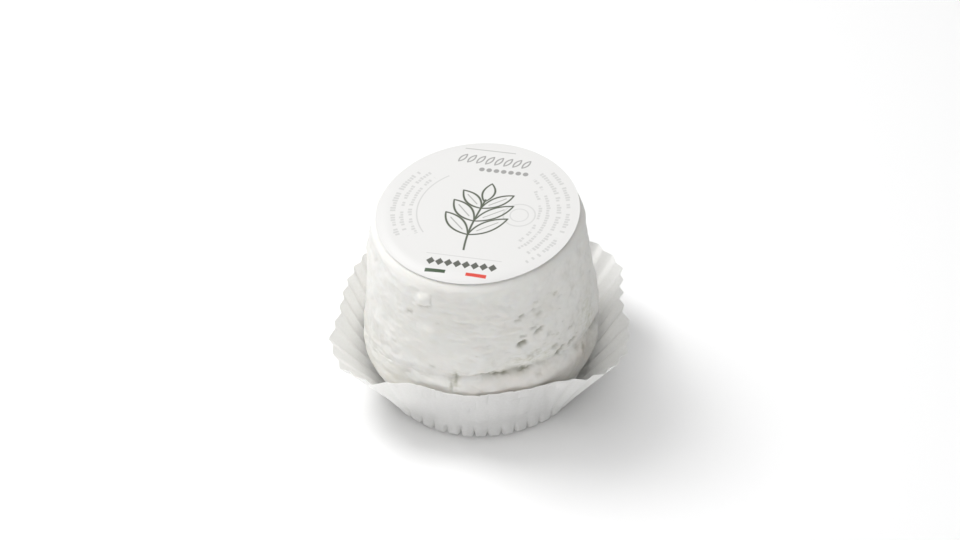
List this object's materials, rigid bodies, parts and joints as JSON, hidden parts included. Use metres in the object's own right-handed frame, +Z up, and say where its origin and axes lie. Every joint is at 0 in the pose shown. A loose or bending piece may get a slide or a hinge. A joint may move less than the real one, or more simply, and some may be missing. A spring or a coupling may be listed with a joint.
{
  "type": "cheese wheel",
  "caption": "Small soft-ripened goat's cheese with a pinched waist and a round paper label on top, standing in a pleated white paper cup.",
  "frame": {"origin": "middle of the flat underside of the paper cup's base, on the surface that it stands on", "axes": "+Z up through the cheese, -Y towards the side that faces the viewer, +X to the viewer's right"},
  "size_m": [0.0826, 0.075, 0.0599],
  "materials": {
    "cheese_rind": "matte",
    "label_paper": "satin",
    "cup_paper": "matte"
  },
  "bodies": {
    "root": {"cheese": "cheese_rind", "paper_label": "label_paper", "paper_cup": "cup_paper"}
  },
  "joints": []
}
